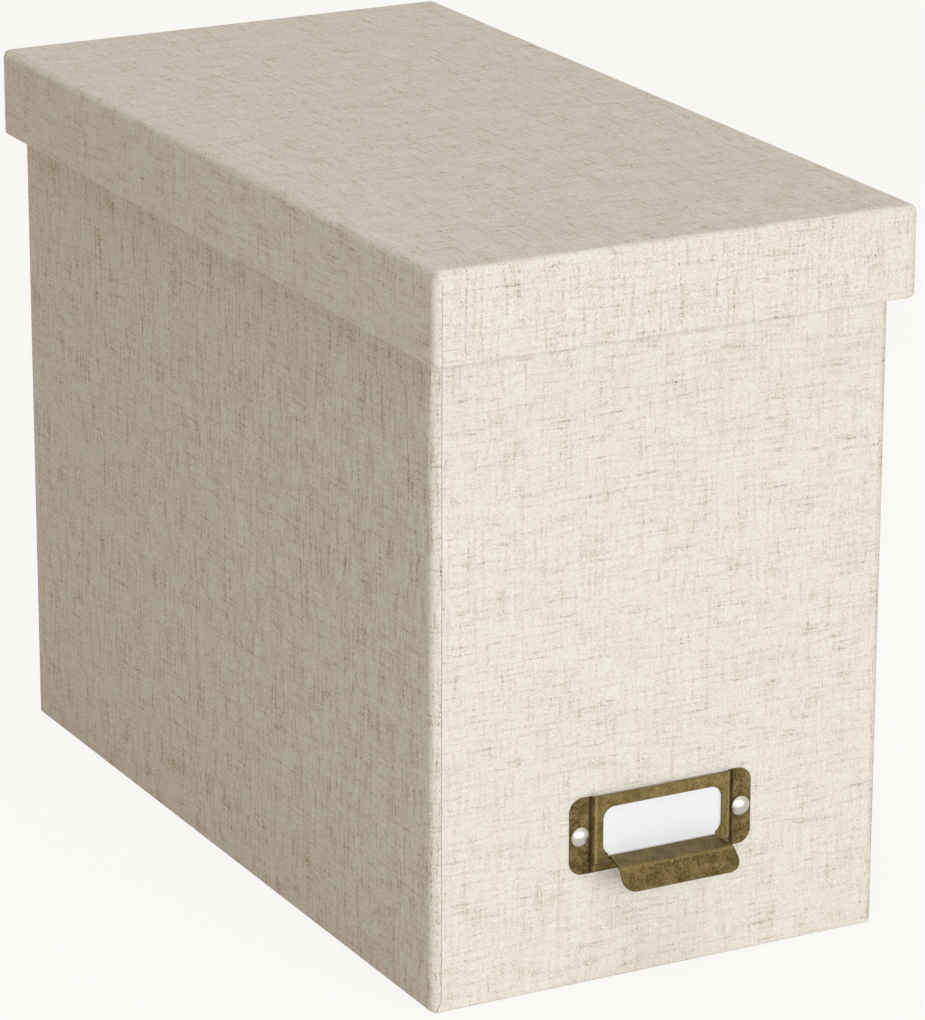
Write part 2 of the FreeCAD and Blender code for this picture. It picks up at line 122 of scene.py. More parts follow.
# How dark the groove is, patina and painted shade, how far each place is rubbed bright, which on
# the ridges, the bend and the edges is also a painted highlight, and how much of the cleared brass
# shows on the pull, darker there as patina and as a painted darker reflection.
GROOVE_PATINA_AND_SHADE = 0.84
RUBBED_SHARE = 0.4
RAISED_SHARE = 0.32
BEND_HIGHLIGHT_SHARE = 0.5
PULL_SHARE = 0.78
EDGE_WEAR_AND_HIGHLIGHT = 0.9


def paint(code):
    """Linear colour from an sRGB hex value."""
    parts = [int(code[i : i + 2], 16) / 255 for i in (0, 2, 4)]
    return tuple(p / 12.92 if p <= 0.04045 else ((p + 0.055) / 1.055) ** 2.4 for p in parts) + (1.0,)


def length(name, description, default):
    return FloatProperty(
        name=name,
        description=description,
        default=default,
        subtype="DISTANCE",
        unit="LENGTH",
        precision=5,
    )


def tint(name, description, code):
    return FloatVectorProperty(
        name=name, description=description, default=paint(code), subtype="COLOR", size=4, min=0, max=1
    )


# Soft boxes: size, watts, colour, azimuth from the front, elevation and distance.
SOFT_BOXES = (
    ("front soft box", (4.4, 1.8), 103.5, (0.833, 0.9, 1.0), -6, 12, 3.4),
    ("overhead soft box", (2.0, 2.0), 31, (0.797, 0.898, 1.0), 0, 88, 2.4),
)
# The height the lamps aim at, and the warm light that the room gives back.
AIM_HEIGHT = 0.13
ROOM_LIGHT = (0.231, 0.155, 0.075, 1)
# The share of the floor that glows white where it is seen. The rest keeps the box's shadow.
FLOOR_GLOW = 0.92
FLOOR_WIDTH = 30


class LinenSettings(bpy.types.PropertyGroup):
    """Sizes and colours of the book cloth."""

    thickness: length("Thickness", "Thickness of the cloth with its paper back", 0.4 * MM)
    body_fold: length("Body fold", "Outside radius at the body's upright corners", 3.3 * MM)
    rim_fold: length("Rim fold", "Outside radius at the body's rim and foot", 1.5 * MM)
    lid_fold: length("Lid fold", "Outside radius at the lid's top and corners", 3.0 * MM)
    hem_fold: length("Hem fold", "Outside radius of the lid's lower edge", 1.3 * MM)
    mitre: length("Mitre", "How far the lid's corner folds reach down its ends", 4.7 * MM)
    mitre_width: length("Mitre width", "How far a corner fold reaches past the seam", 1.5 * MM)
    edge: length("Cut edge", "Radius to which handling has rounded a cut edge", 0.07 * MM)
    rim_turn_in: length("Rim turn-in", "How far cloth reaches down inside the walls", 15 * MM)
    hem_turn_in: length("Hem turn-in", "How far cloth reaches up inside the lid", 12 * MM)
    slant_start: length("Slant start", "Where an end sheet's edge starts to slant out", 4.8 * MM)
    slant_width: length("Slant width", "Reach of an end sheet's lower corner, before rounding", 2.0 * MM)
    thread: length("Thread spacing", "Distance between neighbouring threads", 0.42 * MM)
    relief: length("Relief", "How far a thread stands up from the weave", 0.02 * MM)
    light_flax: tint("Light flax", "Bleached yarn", "f2eee2")
    raw_flax: tint("Raw flax", "Yarn that kept the tan of the plant, in wide soft streaks", "b4955e")
    dark_flax: tint("Dark flax", "Thin unbleached slubs", "9f9478")
    speck: tint("Speck", "Bits of stalk left in the yarn", "6b5d48")


class MetalSettings(bpy.types.PropertyGroup):
    """Sizes and colours of the label holder and its rivets."""

    edge: length("Tumbled edge", "Radius of the holder's rounded edges", 0.3 * MM)
    rivet_head: length("Rivet head", "Width of a rivet's head", 7.1 * MM)
    rivet_rim: length("Rivet rim", "Thickness of the head's rim", 0.3 * MM)
    rivet_shank: length("Rivet shank", "Width of a rivet's shank", 3.2 * MM)
    rivet_tail: length("Rivet tail", "Width of the flattened end", 4.8 * MM)
    pocket_face: length("Pocket face", "Half the width of the raised pocket's face", 26.2 * MM)
    pocket_foot: length("Pocket foot", "Half the width of the raised pocket at its foot", 27.9 * MM)
    pocket_low: length("Pocket low", "Height of the groove under the raised pocket", 41.0 * MM)
    plate_front: length("Plate front", "The pull stands in front of this depth", -169.6 * MM)
    brass: tint("Brass", "Brass where tumbling has cleared it", "8d7950")
    patina: tint("Patina", "Brass where the darkening stays", "4a3c20")
    # The rubbed colour is wear and also painted highlight on the ridges, the pull's bend and the edges.
    rubbed: tint("Rubbed", "Brass rubbed bright on ridges and bends", "b9a468")
    # The bath colour is patina and also painted shade where it fills the groove round and under the raised
    # pocket.
    bath: tint("Bath", "Brass as dark as the bath left it", "2f2413")


class StageSettings(bpy.types.PropertyGroup):
    """The camera, lamps and floor."""

    camera: FloatVectorProperty(
        name="Camera",
        description="Place of the camera",
        default=(-0.8419, -1.6047, 0.7171),
        subtype="TRANSLATION",
        unit="LENGTH",
    )
    azimuth: FloatProperty(
        name="Azimuth", description="Turn of the view round the box", default=-0.48892, unit="ROTATION"
    )
    elevation: FloatProperty(
        name="Elevation", description="How far the view looks down", default=0.31901, unit="ROTATION"
    )
    roll: FloatProperty(
        name="Roll", description="Tilt of the picture", default=0.00236, unit="ROTATION"
    )
    lens: FloatProperty(name="Lens", description="Focal length in millimetres", default=183.88)
    backdrop: tint("Backdrop", "Pale paper behind and under the box", "fdfcfa")


@contextlib.contextmanager
def shaping(piece):
    """Edit mode on one piece alone."""
    only(piece)
    bpy.ops.object.mode_set(mode="EDIT")
    yield
    bpy.ops.object.mode_set(mode="OBJECT")


def only(piece):
    """Makes one piece the active and the only selected object."""
    bpy.ops.object.select_all(action="DESELECT")
    bpy.context.view_layer.objects.active = piece
    piece.select_set(True)


def extent(item):
    """Lowest and highest corner of a face, edge or vertex."""
    places = [item.co] if isinstance(item, bmesh.types.BMVert) else [v.co for v in item.verts]
    low = Vector([min(p[i] for p in places) for i in range(3)])
    high = Vector([max(p[i] for p in places) for i in range(3)])
    return low, high


def pick(piece, kind, test):
    """Selects the faces, edges or vertices whose lowest and highest corners pass a test."""
    bpy.ops.mesh.select_mode(type=kind)
    bpy.ops.mesh.select_all(action="DESELECT")
    mesh = bmesh.from_edit_mesh(piece.data)
    for item in {"VERT": mesh.verts, "EDGE": mesh.edges, "FACE": mesh.faces}[kind]:
        if test(*extent(item)):
            item.select_set(True)
    mesh.select_flush_mode()
    bmesh.update_edit_mesh(piece.data)


def pick_open_edges(piece):
    """Selects the edges that only one face holds."""
    bpy.ops.mesh.select_mode(type="EDGE")
    bpy.ops.mesh.select_all(action="DESELECT")
    bpy.ops.mesh.select_non_manifold(
        extend=False, use_wire=False, use_boundary=True, use_multi_face=False,
        use_non_contiguous=False, use_verts=False,
    )


def cut(place, normal):
    """Adds an edge loop where a plane crosses the piece."""
    bpy.ops.mesh.select_all(action="SELECT")
    bpy.ops.mesh.bisect(plane_co=place, plane_no=normal)


def round_folds(piece, radius, segments=5, test=None):
    """Rounds the edges where two faces meet at more than sixty degrees, or those that pass a test."""
    bpy.ops.mesh.select_mode(type="EDGE")
    bpy.ops.mesh.select_all(action="DESELECT")
    bpy.ops.mesh.edges_select_sharp(sharpness=math.radians(60))
    mesh = bmesh.from_edit_mesh(piece.data)
    for edge in mesh.edges:
        if test and not test(*extent(edge)):
            edge.select_set(False)
    bmesh.update_edit_mesh(piece.data)
    bpy.ops.mesh.bevel(offset=radius, segments=segments, affect="EDGES")


def block(name, x, y, z):
    """A box between the two values given for each axis."""
    bpy.ops.object.select_all(action="DESELECT")
    spans = [sorted(values) for values in (x, y, z)]
    bpy.ops.mesh.primitive_cube_add(
        size=1,
        location=[(low + high) / 2 for low, high in spans],
        scale=[high - low for low, high in spans],
    )
    bpy.ops.object.transform_apply(location=True, rotation=True, scale=True)
    bpy.context.object.name = name
    return bpy.context.object


def near(a, b):
    return abs(a - b) < NEAR


def lies_at(low, high, axis, value):
    """True for an item in the plane where the axis has the value."""
    return near(low[axis], value) and near(high[axis], value)


def apply_modifiers(piece):
    only(piece)
    for modifier in list(piece.modifiers):
        bpy.ops.object.modifier_apply(modifier=modifier.name)


def lay_cloth(piece, place):
    """Writes the cloth map: about where each corner of each face lies on the flat cloth, in metres.

    It leaves out the roundings of the folds and the hem's width, so it places the weave but
    measures nothing.
    """
    mesh = piece.data
    layer = mesh.uv_layers.get(CLOTH_MAP) or mesh.uv_layers.new(name=CLOTH_MAP)
    mesh.uv_layers.active = layer
    for face in mesh.polygons:
        for loop in face.loop_indices:
            point = mesh.vertices[mesh.loops[loop].vertex_index].co
            layer.data[loop].uv = place(point, face.normal, face.center)


def finish_sheet(piece, thickness, rounding, cloth, edge):
    """Gives a folded surface its thickness towards the board, smooth folds and its finish."""
    piece.data.materials.clear()
    piece.data.materials.append(cloth)
    piece.data.materials.append(edge)
    solid = piece.modifiers.new("thickness", "SOLIDIFY")
    solid.thickness = thickness
    solid.offset = -1.0
    # The rims take the edge colour, which also paints the shade of the step at the seams.
    solid.material_offset_rim = 1
    soft = piece.modifiers.new("soft edge", "BEVEL")
    soft.width = rounding
    soft.segments = 2
    soft.limit_method = "ANGLE"
    soft.angle_limit = math.radians(60)
    smooth = piece.modifiers.new("normals", "WEIGHTED_NORMAL")
    smooth.weight = 100
    only(piece)
    bpy.ops.object.shade_smooth_by_angle(angle=math.radians(40))
    apply_modifiers(piece)


def side_sheet(settings, name, side):
    """Cloth of a long wall: from under the base over the rim and in, and round both corners."""
    low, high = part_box("left_cover")
    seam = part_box("front_board")[1].x
    out, under = -low.x, -high.x
    inside = seam - settings.thickness
    end, foot, top = high.y, low.z, high.z
    end_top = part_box("front_cover")[1].z
    inner_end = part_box("base_board")[1].y - settings.thickness
    turn_foot = top - settings.rim_turn_in
    piece = block(name, (side * out, side * inside), (-end, end), (foot, top))

    def bare(a, b):
        """Faces of the box that the cloth doesn't cover."""
        below_end = b.z < end_top + NEAR
        if lies_at(a, b, 0, side * inside):
            beyond = min(abs(a.y), abs(b.y)) > inner_end - NEAR
            return b.z < turn_foot + NEAR or (below_end and beyond)
        past_seam = max(abs(a.x), abs(b.x)) < seam + NEAR
        return past_seam and below_end and (lies_at(a, b, 1, -end) or lies_at(a, b, 1, end))

    def upright(a, b):
        return lies_at(a, b, 0, side * out) and near(a.y, b.y)

    with shaping(piece):
        cut((side * seam, 0, 0), (1, 0, 0))
        cut((0, 0, turn_foot), UP)
        cut((0, 0, end_top), UP)
        cut((0, -inner_end, 0), (0, 1, 0))
        cut((0, inner_end, 0), (0, 1, 0))
        pick(piece, "FACE", bare)
        bpy.ops.mesh.delete(type="FACE")
        pick(piece, "VERT", lambda a, b: near(a.z, foot) and near(abs(a.x), inside))
        bpy.ops.transform.translate(value=(side * (under - inside), 0, 0))
        bpy.ops.transform.resize(value=(1, (end - out + under) / end, 1), center_override=(0, 0, 0))
        round_folds(piece, settings.body_fold, 8, upright)
        round_folds(piece, settings.rim_fold)

    def place(point, normal, centre):
        over = out - abs(point.x)
        if normal.x * side < -0.5 or (normal.z > 0 and abs(centre.x) < (out + inside) / 2):
            return point.y, top + over + top - point.z
        if abs(normal.y) > abs(normal.z):
            return point.y + math.copysign(over, point.y), point.z
        return point.y, point.z + math.copysign(over, normal.z)

    lay_cloth(piece, place)
    return piece


def end_sheet(settings, name, end):
    """Cloth of a short wall: from under the base over the rim and in, cut off at both seams."""
    low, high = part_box("front_cover")
    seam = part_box("front_board")[1].x
    out, under = -low.y, -high.y
    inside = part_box("base_board")[1].y - settings.thickness
    foot, top = low.z, high.z
    turn_foot = top - settings.rim_turn_in
    piece = block(name, (-seam, seam), (end * out, end * inside), (foot, top))

    def bare(a, b):
        at_side = lies_at(a, b, 0, seam) or lies_at(a, b, 0, -seam)
        return at_side or (lies_at(a, b, 1, end * inside) and b.z < turn_foot + NEAR)

    with shaping(piece):
        cut((0, 0, turn_foot), UP)
        cut((0, 0, settings.slant_start), UP)
        pick(piece, "FACE", bare)
        bpy.ops.mesh.delete(type="FACE")
        pick(piece, "VERT", lambda a, b: near(a.z, foot) and near(abs(a.y), inside))
        bpy.ops.transform.translate(value=(0, end * (under - inside), 0))
        bpy.ops.transform.resize(value=((seam - out + under) / seam, 1, 1), center_override=(0, 0, 0))
        pick(piece, "VERT", lambda a, b: near(a.z, foot) and near(abs(a.y), out))
        bpy.ops.transform.resize(
            value=((seam + settings.slant_width) / seam, 1, 1), center_override=(0, 0, 0)
        )
        round_folds(piece, settings.rim_fold)

    def place(point, normal, centre):
        over = out - abs(point.y)
        if normal.y * end < -0.5 or (normal.z > 0 and abs(centre.y) < (out + inside) / 2):
            return point.x, top + over + top - point.z
        return point.x, point.z + math.copysign(over, normal.z)

    lay_cloth(piece, place)
    return piece


def lid_sheet(settings, name):
    """Cloth of the lid: one sheet over the top, down the skirts and round the hem."""
    low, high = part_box("lid_cover")
    width, depth, top, hem = high.x, high.y, high.z, low.z
    step = settings.thickness
    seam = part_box("lid_front_board")[1].x
    inner_x = -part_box("lid_left_board")[1].x - step
    hem_radius = settings.hem_fold
    piece = block(name, (-width, width), (step - depth, depth - step), (hem + hem_radius, top))
    fold_start = depth - step - settings.lid_fold
    slant = top - settings.mitre
    with shaping(piece):
        pick(piece, "FACE", lambda a, b: lies_at(a, b, 2, hem + hem_radius))
        bpy.ops.mesh.delete(type="FACE")
        round_folds(piece, settings.lid_fold, 8)
        for side in (-1, 1):
            cut((side * seam, 0, 0), (1, 0, 0))
            cut((side * (seam + settings.mitre_width), 0, 0), (1, 0, 0))
            pick(
                piece, "FACE",
                lambda a, b: max(a.x * side, b.x * side) > seam + NEAR and b.z > slant - NEAR,
            )
            bpy.ops.mesh.bisect(plane_co=(side * seam, 0, slant), plane_no=(side, 0, -1))

        def proud(a, b):
            """The end faces between the seams, and the mitred corners above them."""
            inner, outer = sorted((abs(a.y), abs(b.y)))
            at_end = outer > fold_start + NEAR and inner > fold_start - NEAR
            between = max(abs(a.x), abs(b.x)) < seam + NEAR
            aside, up = abs(a.x + b.x) / 2 - seam, (a.z + b.z) / 2 - slant
            return at_end and (between or aside < min(up, settings.mitre_width))

        for end in (-1, 1):
            pick(piece, "FACE", lambda a, b: proud(a, b) and a.y * end > 0)
            bpy.ops.mesh.extrude_region_move(TRANSFORM_OT_translate={"value": (0, end * step, 0)})
        pick(piece, "FACE", lambda a, b: lies_at(a, b, 2, hem + hem_radius))
        bpy.ops.mesh.delete(type="FACE")
        board = (width - inner_x) / 2
        outline = [(0, 0)]
        for turn in (30, 60, 90):
            angle = math.radians(turn)
            outline.append((hem_radius * (1 - math.cos(angle)), -hem_radius * math.sin(angle)))
        outline += [(2 * board - x, z) for x, z in reversed(outline)]
        outline.append((2 * board, settings.hem_turn_in - hem_radius))
        pick_open_edges(piece)
        for start, stop in zip(outline, outline[1:]):
            bpy.ops.mesh.extrude_edges_move(
                TRANSFORM_OT_translate={"value": (0, 0, stop[1] - start[1])}
            )
            shrink = ((width - stop[0]) / (width - start[0]), (depth - stop[0]) / (depth - start[0]))
            bpy.ops.transform.resize(value=(*shrink, 1), center_override=(0, 0, 0))
        bpy.ops.mesh.select_all(action="SELECT")
        bpy.ops.mesh.normals_make_consistent(inside=False)

    def place(point, normal, centre):
        drop = top - point.z
        if normal.x * centre.x < -NEAR and abs(normal.x) > 0.5:
            return math.copysign(width + 2 * (top - hem) - drop, point.x), point.y
        if normal.y * centre.y < -NEAR and abs(normal.y) > 0.5:
            return point.x, math.copysign(depth + 2 * (top - hem) - drop, point.y)
        if abs(centre.x) > seam and abs(normal.z) < 0.1:
            over = math.copysign(width - abs(point.x), point.y)
            return math.copysign(width + drop, point.x), point.y + over
        if abs(normal.y) > abs(normal.x):
            return point.x, point.y + math.copysign(drop, point.y)
        return point.x + math.copysign(drop, point.x), point.y

    lay_cloth(piece, place)
    return piece


def dome_rivet(settings, name, x):
    """One rivet: a domed head on the holder, its shank through the wall and its flattened tail."""
    low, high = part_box("rivets")
    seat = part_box("label_holder")[1].y - HOLDER_METAL
    head = seat - low.y
    radius = settings.rivet_head / 2
    rise = head - settings.rivet_rim
    ball = (radius**2 + rise**2) / (2 * rise)
    centre = Vector((x, low.y + ball, (low.z + high.z) / 2))
    bpy.ops.object.select_all(action="DESELECT")
    bpy.ops.mesh.primitive_uv_sphere_add(
        segments=48, ring_count=48, radius=ball, location=centre, rotation=(math.pi / 2, 0, 0)
    )
    bpy.ops.object.transform_apply(location=True, rotation=True, scale=True)
    piece = bpy.context.object
    piece.name = name
    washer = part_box("rivet_washers")[1].y
    steps = [
        (settings.rivet_rim, 1.0),
        (0.0, settings.rivet_shank / settings.rivet_head),
        (washer - seat, 1.0),
        (0.0, settings.rivet_tail / settings.rivet_shank),
        (high.y - washer - TAIL_EDGE, 1.0),
        (TAIL_EDGE, TAIL_TAPER),
    ]
    with shaping(piece):
        bpy.ops.mesh.select_all(action="SELECT")
        bpy.ops.mesh.bisect(plane_co=(0, low.y + rise, 0), plane_no=(0, 1, 0), clear_outer=True)
        pick_open_edges(piece)
        for along, factor in steps:
            bpy.ops.mesh.extrude_edges_move(TRANSFORM_OT_translate={"value": (0, along, 0)})
            bpy.ops.transform.resize(value=(factor, 1, factor), center_override=centre)
        bpy.ops.mesh.edge_face_add()
        bpy.ops.mesh.select_all(action="SELECT")
        bpy.ops.mesh.normals_make_consistent(inside=False)
    rim = piece.modifiers.new("rim", "BEVEL")
    rim.width = RIVET_EDGE
    rim.segments = 3
    rim.limit_method = "ANGLE"
    rim.angle_limit = math.radians(50)
    only(piece)
    bpy.ops.object.shade_smooth_by_angle(angle=math.radians(40))
    apply_modifiers(piece)
    return piece


def worn_holder(settings, name):
    """The stamped holder with its edges rounded by tumbling."""
    piece = frame["nodes"]["label_holder"].copy()
    piece.data = piece.data.copy()
    piece.name = name
    piece.parent = None
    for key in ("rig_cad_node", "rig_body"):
        del piece[key]
    bpy.context.scene.collection.objects.link(piece)
    with shaping(piece):
        bpy.ops.mesh.select_all(action="SELECT")
        bpy.ops.mesh.remove_doubles(threshold=0.002 * MM)
        bpy.ops.mesh.dissolve_limited(angle_limit=math.radians(2))
    edge = piece.modifiers.new("tumbled edge", "BEVEL")
    edge.width = settings.edge
    edge.segments = 3
    edge.limit_method = "ANGLE"
    edge.angle_limit = math.radians(40)
    edge.material = 1
    smooth = piece.modifiers.new("normals", "WEIGHTED_NORMAL")
    smooth.weight = 100
    return piece


def put(tree, kind, inputs=(), **settings):
    """Adds a shader node with its settings; each input is a value, a socket or a node's first output."""
    node = tree.nodes.new("ShaderNode" + kind)
    for name, value in settings.items():
        setattr(node, name, value)
    for key, value in dict(inputs).items():
        if isinstance(value, bpy.types.Node):
            value = value.outputs[0]
        if isinstance(value, bpy.types.NodeSocket):
            tree.links.new(value, node.inputs[key])
        else:
            node.inputs[key].default_value = value
    return node


def new_material(name):
    """An empty material, its node tree and its surface shader."""
    material = bpy.data.materials.new(name)
    material.use_nodes = True
    tree = material.node_tree
    tree.nodes.clear()
    shader = put(tree, "BsdfPrincipled")
    put(tree, "OutputMaterial", {"Surface": shader})
    return material, tree, shader


def yarn_tone(tree, across, along, seed, kinds):
    """How dark the threads of one direction are, from 0 for plain yarn to about 1."""
    lane = put(tree, "Math", {0: across}, operation="FLOOR")
    total = None
    for row, (width, run, start, full, share) in enumerate(kinds):
        threads, step = (across, 1 / width) if width else (lane, THREAD_STEP)
        shift = seed + row * KIND_STEP
        place = put(tree, "Math", {0: threads, 1: step, 2: shift}, operation="MULTIPLY_ADD")
        reach = put(tree, "Math", {0: along, 1: run}, operation="DIVIDE")
        spot = put(tree, "CombineXYZ", {0: place, 1: reach})
        noise = put(
            tree, "TexNoise", {"Vector": spot, "Scale": 1.0, "Detail": 2.0}, noise_dimensions="2D"
        )
        dark = put(
            tree, "MapRange", {0: noise, 1: start, 2: full, 4: share},
            interpolation_type="SMOOTHSTEP",
        )
        total = dark if total is None else put(tree, "Math", {0: total, 1: dark}, operation="ADD")
    return total


def linen(settings, name, long_share, strength, seed):
    """Book cloth of half-bleached linen, plain weave with a matt starch finish on a paper back.

    Thin dark slubs and wide tan streaks run along both thread directions. They show most where
    their thread lies on top, and every crossing differs, so they look dotted. Bits of stalk crowd
    where the cloth is tan. The threads stand up as small pillows.
    """
    material, tree, shader = new_material(name)
    cloth = put(tree, "UVMap", uv_map=CLOTH_MAP)
    shift = put(tree, "VectorMath", {0: cloth.outputs[0], 1: (seed, seed / 3, 0)}, operation="ADD")
    grid = put(tree, "VectorMath", {0: shift, "Scale": 1 / settings.thread}, operation="SCALE")
    sway = put(tree, "TexNoise", {"Vector": grid, "Scale": 0.02, "Detail": 1.0})
    grid = put(
        tree, "VectorMath", {0: sway.outputs["Color"], 1: SWAY, 2: grid}, operation="MULTIPLY_ADD"
    )
    parts = put(tree, "SeparateXYZ", {0: grid})
    u, v = parts.outputs[0], parts.outputs[1]
    column = put(tree, "Math", {0: u}, operation="FLOOR")
    row = put(tree, "Math", {0: v}, operation="FLOOR")
    turn = put(tree, "Math", {0: column, 1: row}, operation="ADD")
    on_top = put(tree, "Math", {0: turn, 1: 2.0}, operation="FLOORED_MODULO")
    show = put(tree, "MapRange", {0: on_top, 3: 0.2, 4: 0.8})
    dark = []
    for kinds, start in ((SLUBS, SLUB_SEED), (STREAKS, STREAK_SEED)):
        weft = yarn_tone(tree, v, u, start, kinds)
        weft = put(tree, "Math", {0: weft, 1: long_share * strength}, operation="MULTIPLY")
        warp = yarn_tone(tree, u, v, start + WARP_SEED, kinds)
        warp = put(tree, "Math", {0: warp, 1: (1 - long_share) * strength}, operation="MULTIPLY")
        dark.append(put(tree, "Mix", {0: show, 2: weft, 3: warp}))

    cell = put(tree, "CombineXYZ", {0: column, 1: row})
    grain = put(tree, "TexWhiteNoise", {"Vector": cell}, noise_dimensions="2D")
    dots = put(tree, "MapRange", {0: grain.outputs["Value"], 3: 0.35, 4: 1.65})
    dotted = [put(tree, "Math", {0: part, 1: dots}, operation="MULTIPLY") for part in dark]
    slub = put(
        tree, "Math", {0: grain.outputs["Value"], 1: 0.25 * strength, 2: dotted[0]},
        operation="MULTIPLY_ADD",
    )
    patch = put(tree, "TexNoise", {"Vector": grid, "Scale": 0.035, "Detail": 1.0})
    cloud = put(tree, "MapRange", {0: patch, 1: 0.3, 2: 0.7, 4: 0.06})
    tan = put(tree, "Math", {0: dotted[1], 1: cloud}, operation="ADD")
    fleck = put(tree, "TexNoise", {"Vector": grid, "Scale": 0.6, "Detail": 1.0})
    crowd = put(tree, "Math", {0: tan, 1: 0.5, 2: fleck}, operation="MULTIPLY_ADD")
    stalk = put(
        tree, "MapRange", {0: crowd, 1: 0.79, 2: 0.94, 4: 0.75}, interpolation_type="SMOOTHSTEP"
    )
    flax = put(tree, "MixRGB", {0: tan, 1: tuple(settings.light_flax), 2: tuple(settings.raw_flax)})
    flax = put(tree, "MixRGB", {0: slub, 1: flax, 2: tuple(settings.dark_flax)})
    flax = put(tree, "MixRGB", {0: stalk, 1: flax, 2: tuple(settings.speck)})
    tree.links.new(flax.outputs[0], shader.inputs["Base Color"])

    waves = []
    for place in (u, v):
        turns = put(tree, "Math", {0: place, 1: math.pi}, operation="MULTIPLY")
        wave = put(tree, "Math", {0: turns}, operation="SINE")
        waves.append(put(tree, "Math", {0: wave}, operation="ABSOLUTE"))
    pillow = put(tree, "Math", {0: waves[0], 1: waves[1]}, operation="MULTIPLY")
    ridge = put(tree, "Mix", {0: on_top, 2: waves[1], 3: waves[0]})
    height = put(tree, "Math", {0: pillow, 1: ridge}, operation="ADD")
    weave = put(tree, "Bump", {"Height": height, "Strength": 1.0, "Distance": settings.relief})
    tree.links.new(weave.outputs[0], shader.inputs["Normal"])
    shader.inputs["Roughness"].default_value = 0.9
    shader.inputs["Specular IOR Level"].default_value = 0.2
    return material


def cut_edge():
    """Raw edge of book cloth: cut fibres darkened by the glue that holds them down, and painted shade for
    the step at the seams.
    """
    material, _, shader = new_material("glued and shaded linen edge")
    shader.inputs["Base Color"].default_value = paint("ddd4c2")
    shader.inputs["Roughness"].default_value = 0.9
    return material


def paper(name, sheet, fibre, cloudy, fibres, roughness):
    """Paper and board: pressed fibres, so a faintly cloudy, matt surface with single dark fibres.

    The clouds are 4 mm across. The fibres are about 0.3 by 2 mm, drawn thicker than real ones so
    that they show.
    """
    material, tree, shader = new_material(name)
    coords = put(tree, "TexCoord")
    clouds = put(
        tree, "TexNoise",
        {"Vector": coords.outputs["Object"], "Scale": 250.0, "Detail": 4.0, "Roughness": 0.6},
    )
    drift = put(tree, "TexNoise", {"Vector": coords.outputs["Object"], "Scale": 400.0, "Detail": 1.0})
    bent = put(
        tree, "VectorMath", {0: drift.outputs["Color"], 1: (0.002,) * 3, 2: coords.outputs["Object"]},
        operation="MULTIPLY_ADD",
    )
    strands = put(tree, "TexNoise", {"Vector": bent, "Scale": 1600.0, "Detail": 1.0})
    strand = put(
        tree, "MapRange", {0: strands, 1: 0.66, 2: 0.74, 4: fibres}, interpolation_type="SMOOTHSTEP"
    )
    shade = put(tree, "MapRange", {0: clouds, 1: 0.3, 2: 0.7, 4: cloudy})
    share = put(tree, "Math", {0: shade, 1: strand}, operation="MAXIMUM")
    base = put(tree, "MixRGB", {0: share, 1: paint(sheet), 2: paint(fibre)})
    tree.links.new(base.outputs[0], shader.inputs["Base Color"])
    tooth = put(tree, "Bump", {"Height": strands, "Strength": 0.4, "Distance": 0.03 * MM})
    tree.links.new(tooth.outputs[0], shader.inputs["Normal"])
    shader.inputs["Roughness"].default_value = roughness
    return material


def kraft_tape(name):
    """Gummed kraft tape: brown paper ribbed across by the gumming rolls, with dark fibres."""
    material, tree, shader = new_material(name)
    coords = put(tree, "TexCoord")
    ribs = put(
        tree, "TexWave",
        {"Vector": coords.outputs["Object"], "Scale": 90.0, "Distortion": 1.5, "Detail": 2.0},
        bands_direction="Z",
    )
    clouds = put(
        tree, "TexNoise",
        {"Vector": coords.outputs["Object"], "Scale": 350.0, "Detail": 5.0, "Roughness": 0.65},
    )
    shade = put(tree, "Mix", {0: 0.75, 2: ribs.outputs["Fac"], 3: clouds})
    base = put(tree, "MixRGB", {0: shade, 1: paint("b9966a"), 2: paint("9d7a4e")})
    tree.links.new(base.outputs[0], shader.inputs["Base Color"])
    tooth = put(tree, "Bump", {"Height": ribs.outputs["Fac"], "Strength": 0.3, "Distance": 0.02 * MM})
    tree.links.new(tooth.outputs[0], shader.inputs["Normal"])
    shader.inputs["Roughness"].default_value = 0.7
    return material


def zinc_steel(name):
    """Cold-rolled steel strip, bright zinc plated: bluish grey with faint rolling lines along it."""
    material, tree, shader = new_material(name)
    coords = put(tree, "TexCoord")
    along = put(tree, "VectorMath", {0: coords.outputs["Object"], 1: (12, 700, 700)}, operation="MULTIPLY")
    lines = put(tree, "TexNoise", {"Vector": along, "Scale": 1.0, "Detail": 4.0})
    blooms = put(tree, "TexNoise", {"Vector": coords.outputs["Object"], "Scale": 120.0, "Detail": 3.0})
    tone = put(tree, "Mix", {0: 0.5, 2: lines, 3: blooms})
    base = put(tree, "MixRGB", {0: tone, 1: paint("a9adb2"), 2: paint("cdd0d3")})
    tree.links.new(base.outputs[0], shader.inputs["Base Color"])
    rough = put(tree, "MapRange", {0: lines, 1: 0.3, 2: 0.7, 3: 0.28, 4: 0.42})
    tree.links.new(rough.outputs[0], shader.inputs["Roughness"])
    shader.inputs["Metallic"].default_value = 1.0
    return material


def nickel_plate(name):
    """Nickel plated brass: warm white metal, polished, dulled a little in soft patches by handling."""
    material, tree, shader = new_material(name)
    coords = put(tree, "TexCoord")
    haze = put(tree, "TexNoise", {"Vector": coords.outputs["Object"], "Scale": 700.0, "Detail": 3.0})
    rough = put(tree, "MapRange", {0: haze, 1: 0.3, 2: 0.7, 3: 0.26, 4: 0.4})
    tree.links.new(rough.outputs[0], shader.inputs["Roughness"])
    shader.inputs["Base Color"].default_value = paint("c6c0b5")
    shader.inputs["Metallic"].default_value = 1.0
    return material


